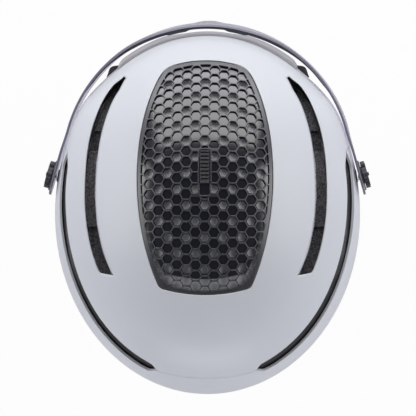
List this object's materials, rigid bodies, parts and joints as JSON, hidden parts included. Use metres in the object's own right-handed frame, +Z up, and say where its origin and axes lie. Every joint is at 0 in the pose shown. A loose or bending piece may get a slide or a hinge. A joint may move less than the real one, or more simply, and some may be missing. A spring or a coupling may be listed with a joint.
{
  "type": "bicycle helmet with visor",
  "caption": "Smooth urban bicycle helmet with a clear swing-up visor, a honeycomb crown vent with a sliding shutter, side vents, a dial-adjusted head ring and a buckled chin strap.",
  "frame": {"origin": "centre of the head on the widest level of the shell", "axes": "+X the wearer's right, +Y the front, +Z up through the crown"},
  "size_m": [0.2616, 0.2981, 0.2775],
  "materials": {
    "shell_white": "satin",
    "shell_lower": "satin",
    "foam": "speckled bead foam",
    "brow": "satin",
    "seal": "matte",
    "edge": "matte",
    "grille": "satin",
    "tray": "matte",
    "net": "woven",
    "shutter": "matte",
    "slider": "matte, ribbed",
    "film": "clear, faint violet",
    "gasket": "matte",
    "dark_plastic": "satin",
    "knob": "satin",
    "screw": "satin",
    "ring": "satin",
    "gear": "natural nylon",
    "pad": "brushed knit",
    "webbing": "woven",
    "buckle": "satin"
  },
  "bodies": {
    "helmet": {"crown_shell": "shell_white", "lower_shell": "shell_lower", "eps_liner": "foam", "brow_trim": "brow", "brow_seal": "seal", "rim_trim": "edge", "vent_grille": "grille", "vent_base": "tray", "vent_net": "net", "pivot_base_left": "dark_plastic", "pivot_base_right": "dark_plastic", "pivot_screw_left": "screw", "pivot_screw_right": "screw", "head_ring": "ring", "ring_clips": "ring", "rear_hanger": "ring", "dial_housing": "ring", "brow_pad": "pad", "crown_pad_left": "pad", "crown_pad_right": "pad", "side_pad_left": "pad", "side_pad_right": "pad", "nape_pad": "pad", "strap_anchors": "dark_plastic", "front_strap_left": "webbing", "front_strap_right": "webbing", "rear_strap_left": "webbing", "rear_strap_right": "webbing", "divider_left": "buckle", "divider_right": "buckle", "chin_strap_left": "webbing", "chin_strap_right": "webbing", "buckle_socket": "buckle", "chin_pad": "pad", "strap_keeper": "buckle"},
    "visor": {"visor_lens": "film", "visor_gasket": "gasket", "visor_hub_left": "dark_plastic", "visor_hub_right": "dark_plastic"},
    "knob_left": {"knob_left": "knob"},
    "knob_right": {"knob_right": "knob"},
    "shutter": {"shutter_plate": "shutter", "shutter_slider": "slider"},
    "dial": {"adjust_dial": "knob", "dial_pinion": "gear"},
    "rack_left": {"rack_left": "gear"},
    "rack_right": {"rack_right": "gear"},
    "buckle_tongue": {"buckle_tongue": "buckle"},
    "buckle_latch_front": {"buckle_latch_front": "buckle"},
    "buckle_latch_rear": {"buckle_latch_rear": "buckle"}
  },
  "joints": [
    {"name": "visor_hinge", "type": "hinge", "parent": "helmet", "child": "visor", "pos_m": [0, 0.0304, 0.006], "axis": [1, 0, 0], "range_deg": [0, 55]},
    {"name": "knob_left_turn", "type": "hinge", "parent": "visor", "child": "knob_left", "pos_m": [-0.12195, 0.0304, 0.006], "axis": [-0.9622, 0.2722, 0], "range_deg": [0, 90]},
    {"name": "knob_right_turn", "type": "hinge", "parent": "visor", "child": "knob_right", "pos_m": [0.12195, 0.0304, 0.006], "axis": [0.9622, 0.2722, 0], "range_deg": [-90, 0]},
    {"name": "shutter_slide", "type": "hinge", "parent": "helmet", "child": "shutter", "pos_m": [0, 0, -0.0732], "axis": [1, 0, 0], "range_deg": [0, 2.8]},
    {"name": "dial_turn", "type": "hinge", "parent": "helmet", "child": "dial", "pos_m": [0, -0.1004, -0.062], "axis": [0, -1, 0], "range_deg": [0, 118.8]},
    {"name": "rack_left_slide", "type": "hinge", "parent": "helmet", "child": "rack_left", "pos_m": [0, -0.0344, -0.062], "axis": [0, 0, 1], "range_deg": [0, 9]},
    {"name": "rack_right_slide", "type": "hinge", "parent": "helmet", "child": "rack_right", "pos_m": [0, -0.0344, -0.062], "axis": [0, 0, -1], "range_deg": [0, 9]},
    {"name": "tongue_slide", "type": "slide", "parent": "helmet", "child": "buckle_tongue", "axis": [1, 0, 0], "range_m": [0, 0.026]},
    {"name": "latch_front_squeeze", "type": "hinge", "parent": "buckle_tongue", "child": "buckle_latch_front", "pos_m": [0.0198, 0.0228, -0.168], "axis": [0, 0, 1], "range_deg": [0, 5], "stiffness_Nm_per_rad": 0.01},
    {"name": "latch_rear_squeeze", "type": "hinge", "parent": "buckle_tongue", "child": "buckle_latch_rear", "pos_m": [0.0198, 0.0052, -0.168], "axis": [0, 0, -1], "range_deg": [0, 5], "stiffness_Nm_per_rad": 0.01}
  ],
  "couplings": [
    {"joint": "rack_left_slide", "follows": "dial_turn", "ratio": 0.075758},
    {"joint": "rack_right_slide", "follows": "dial_turn", "ratio": 0.075758}
  ]
}
